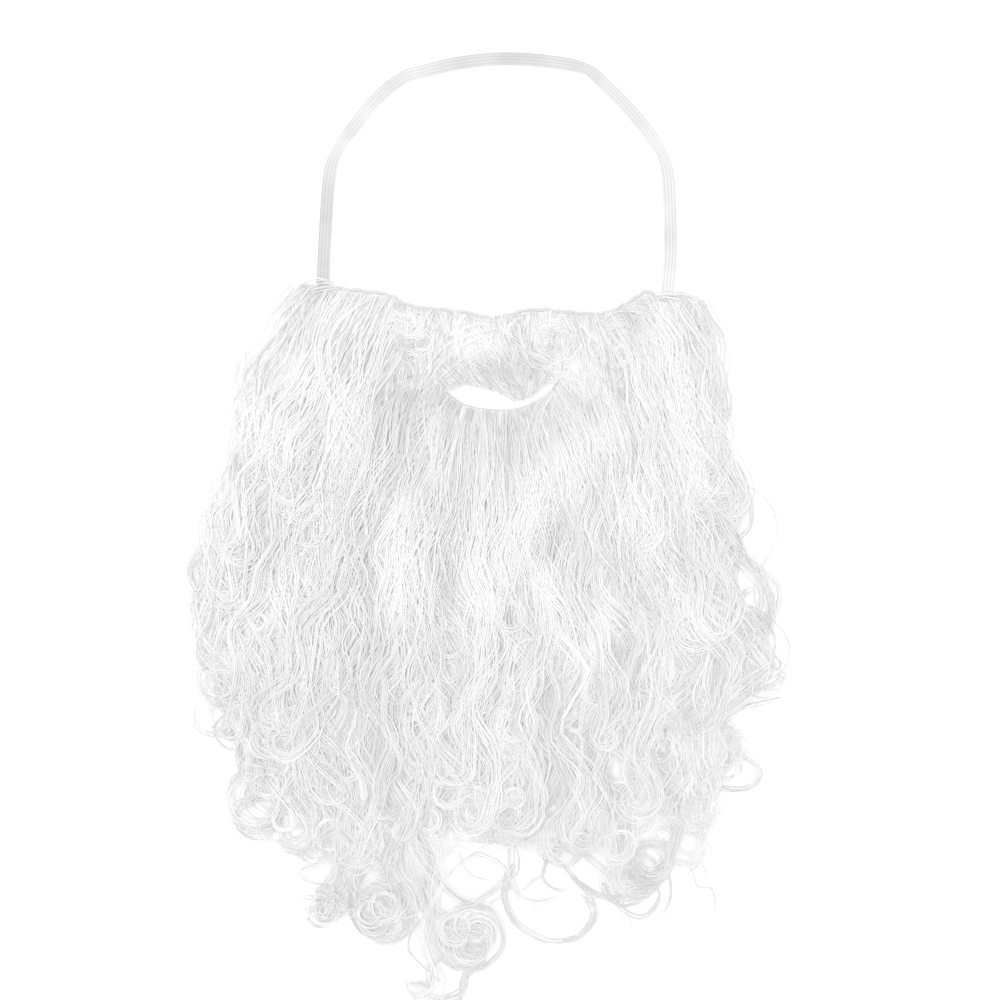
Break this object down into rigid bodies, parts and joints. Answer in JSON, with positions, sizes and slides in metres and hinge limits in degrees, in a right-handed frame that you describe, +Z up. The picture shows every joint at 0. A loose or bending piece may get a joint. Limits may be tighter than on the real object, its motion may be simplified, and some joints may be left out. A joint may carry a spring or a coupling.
{
  "type": "fake beard with an elastic head strap",
  "caption": "Curly white costume beard and moustache on a cloth backing with a mouth opening, lying face up, with its flat elastic head strap laid out above it.",
  "frame": {"origin": "middle of the whole object's base on the surface that it lies on", "axes": "+Z up, out of the face side of the beard; +Y towards the head strap; +X to the viewer's right"},
  "size_m": [0.2976, 0.474, 0.0436],
  "materials": {
    "white_elastic": "braided flat elastic with lengthwise ribs",
    "white_knit_cloth": "matte knitted cloth",
    "rolled_hem_thread": "rolled and overlocked edge",
    "white_hair_fibre": "soft semi-gloss synthetic hair"
  },
  "bodies": {
    "root": {"elastic_strap": "white_elastic", "backing_cloth": "white_knit_cloth", "top_hem": "rolled_hem_thread", "moustache_left": "white_hair_fibre", "moustache_right": "white_hair_fibre", "cheek_hair_left": "white_hair_fibre", "cheek_hair_right": "white_hair_fibre", "chin_hair": "white_hair_fibre"}
  },
  "joints": []
}
